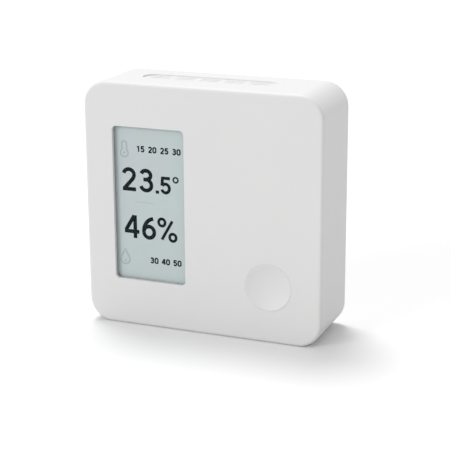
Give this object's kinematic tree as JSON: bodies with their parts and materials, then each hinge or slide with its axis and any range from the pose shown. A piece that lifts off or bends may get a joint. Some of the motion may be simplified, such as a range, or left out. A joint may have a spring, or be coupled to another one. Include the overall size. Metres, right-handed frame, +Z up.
{
  "type": "room sensor",
  "caption": "Square room temperature and humidity sensor with a recessed display, a round dished key, a vented top and a pull-off wall plate.",
  "frame": {"origin": "middle of the footprint, on the surface that the case stands on", "axes": "+Z up, front face towards -Y, back and wall plate towards +Y, +X to the right seen from the front"},
  "size_m": [0.078, 0.0244, 0.078],
  "materials": {
    "case_plastic": "fine matt, off-white",
    "plate_plastic": "fine matt, off-white",
    "key_plastic": "satin, off-white",
    "inner_plastic": "moulded grey",
    "dark_plastic": "moulded black",
    "lens": "clear, anti-glare",
    "e_paper": "matt grey electrophoretic film",
    "panel_glass": "polished glass on dark electrodes",
    "chip_black": "moulded package",
    "flex_amber": "polyimide",
    "board_green": "solder mask",
    "steel": "plain steel",
    "tinned": "tin plate",
    "gold_wire": "gold-flashed wire",
    "foam": "closed-cell foam",
    "membrane": "breathable film",
    "adhesive": "acrylic adhesive tape",
    "battery_sleeve": "shrink sleeve",
    "capacitor_sleeve": "shrink sleeve"
  },
  "bodies": {
    "case": {"front_cover": "case_plastic", "vent_membrane": "membrane", "switch_body": "dark_plastic", "display_lens": "lens", "display_tape": "adhesive", "e_paper_film": "e_paper", "panel_glass": "panel_glass", "panel_driver": "chip_black", "display_carrier": "inner_plastic", "display_flex": "flex_amber", "flex_connector": "dark_plastic", "main_board": "board_green", "radio_board": "board_green", "radio_shield": "tinned", "buffer_capacitor": "capacitor_sleeve", "antenna_spring": "gold_wire", "board_chips": "chip_black", "board_passives": "dark_plastic", "crystal_can": "tinned", "sensor_board": "board_green", "humidity_sensor": "chip_black", "sensor_gasket": "foam", "battery_chassis": "inner_plastic", "upper_battery": "battery_sleeve", "lower_battery": "battery_sleeve", "contact_plates": "tinned", "contact_springs": "steel", "chassis_screws": "steel"},
    "key": {"button_cap": "key_plastic"},
    "plunger": {"switch_plunger": "inner_plastic"},
    "plate": {"wall_plate": "plate_plastic"}
  },
  "joints": [
    {"name": "key_press", "type": "slide", "parent": "case", "child": "key", "axis": [0, 1, 0], "range_m": [0, 0.0003], "stiffness_N_per_m": 2500, "springref_m": -0.0003},
    {"name": "plunger_travel", "type": "slide", "parent": "case", "child": "plunger", "axis": [0, 1, 0], "range_m": [0, 0.0003]},
    {"name": "plate_pull_off", "type": "slide", "parent": "case", "child": "plate", "axis": [0, 1, 0], "range_m": [0, 0.03]}
  ],
  "couplings": [
    {"joint": "plunger_travel", "follows": "key_press", "ratio": 1}
  ]
}
